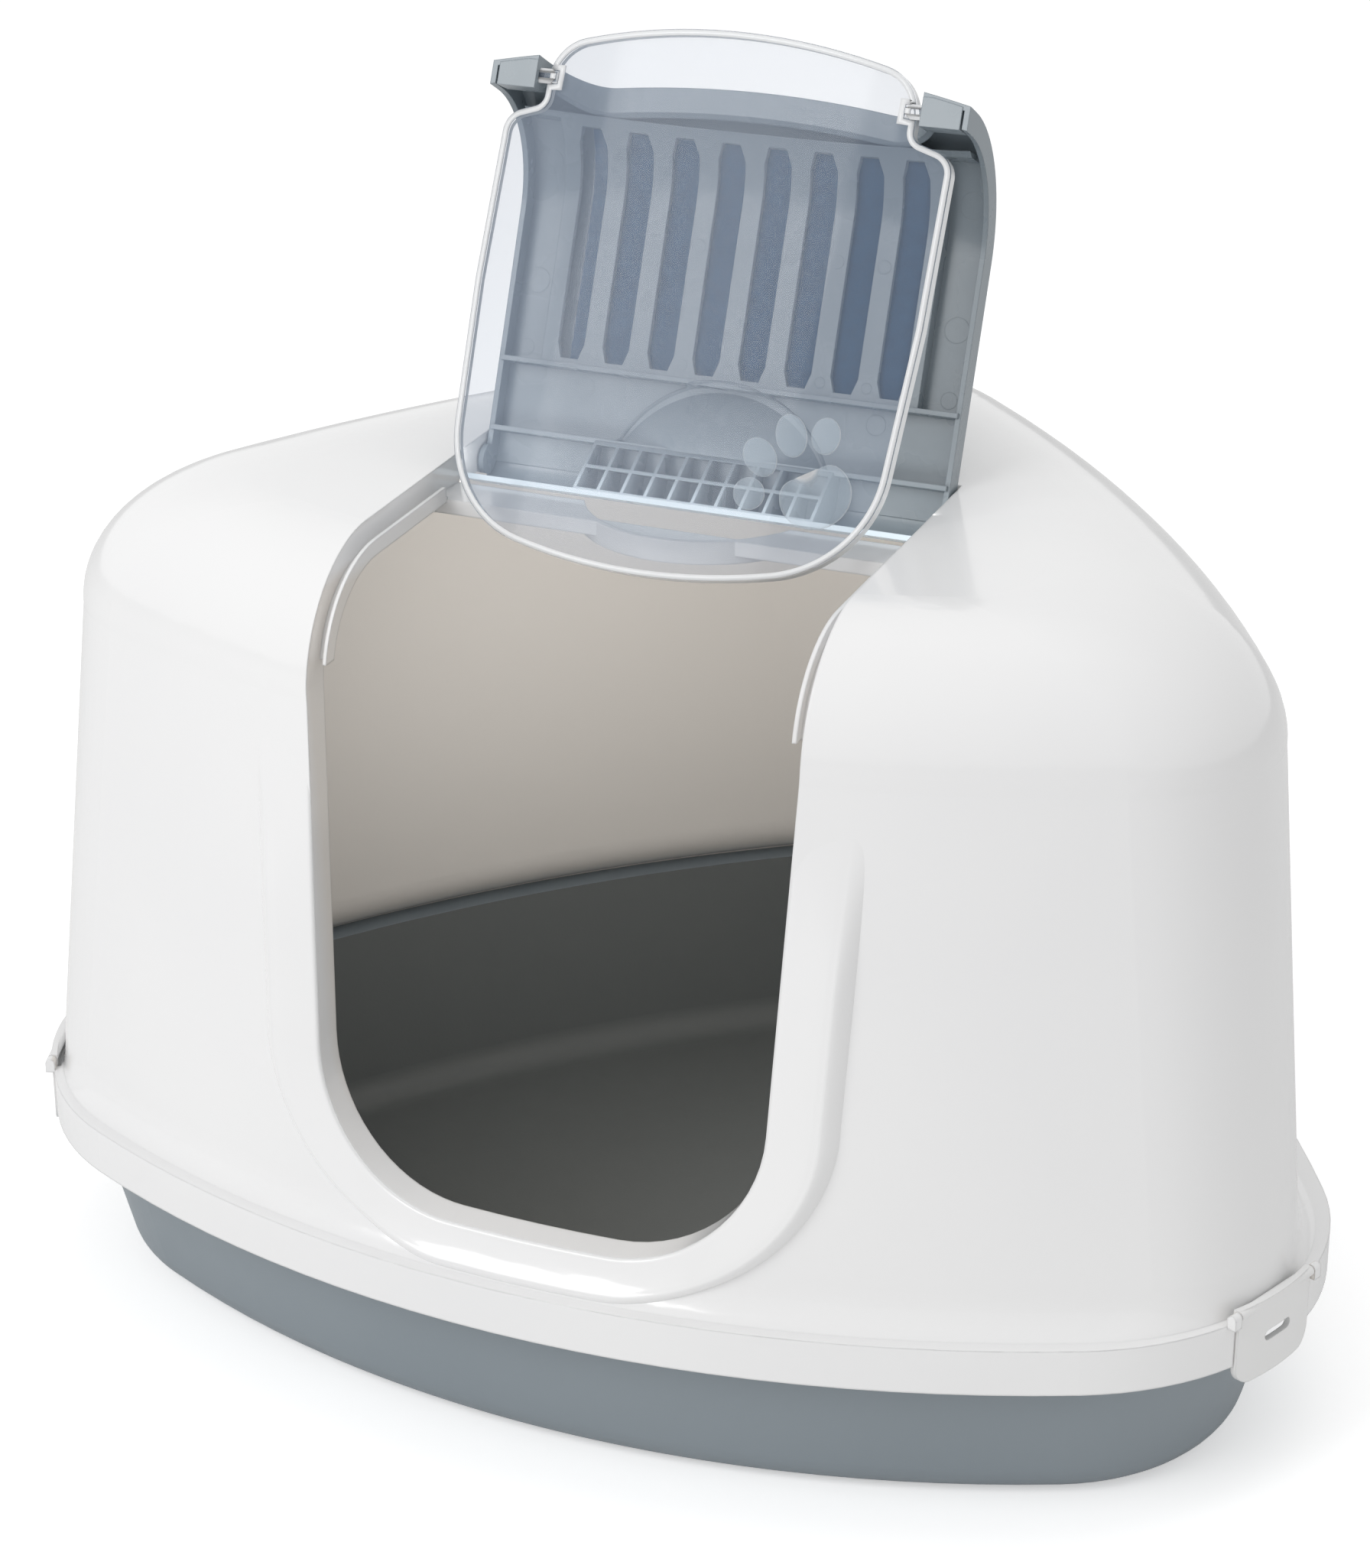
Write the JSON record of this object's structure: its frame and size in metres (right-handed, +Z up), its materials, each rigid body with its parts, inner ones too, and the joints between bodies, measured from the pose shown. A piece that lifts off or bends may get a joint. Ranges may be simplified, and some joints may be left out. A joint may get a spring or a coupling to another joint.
{
  "type": "hooded corner cat litter box",
  "caption": "Corner cat litter box: a tray, a lift-off hood with a wide entrance, a fold-back top panel that holds a carbon filter, a clear swing door and side clips.",
  "frame": {"origin": "on the floor, under the middle of the box", "axes": "+X to the right, -Y towards the entrance, +Z up"},
  "size_m": [0.5538, 0.4558, 0.521],
  "materials": {
    "tray": "satin",
    "hood": "gloss",
    "panel": "satin gloss",
    "door": "clear gloss",
    "filter": "matte",
    "clip": "satin gloss"
  },
  "bodies": {
    "tray": {"tray": "tray"},
    "hood": {"hood": "hood"},
    "panel": {"top_panel": "panel", "filter_cover": "panel", "carbon_filter": "filter"},
    "door": {"swing_door": "door"},
    "clip_right": {"latch_clip_right": "clip"},
    "clip_left": {"latch_clip_left": "clip"}
  },
  "joints": [
    {"name": "hood_lift", "type": "slide", "parent": "tray", "child": "hood", "axis": [0, 0, 1], "range_m": [0, 0.25]},
    {"name": "panel_hinge", "type": "hinge", "parent": "hood", "child": "panel", "pos_m": [0, -0.038, 0.3453], "axis": [1, 0, 0], "range_deg": [0, 113.8]},
    {"name": "door_swing", "type": "hinge", "parent": "panel", "child": "door", "pos_m": [0, -0.01939, 0.49776], "axis": [1, 0, 0], "range_deg": [-147, 0]},
    {"name": "clip_right_hinge", "type": "hinge", "parent": "hood", "child": "clip_right", "pos_m": [0.26565, -0.11736, 0.0885], "axis": [-0.342, -0.9397, 0], "range_deg": [0, 75]},
    {"name": "clip_left_hinge", "type": "hinge", "parent": "hood", "child": "clip_left", "pos_m": [-0.26565, -0.11736, 0.0885], "axis": [-0.342, 0.9397, 0], "range_deg": [0, 75]}
  ]
}
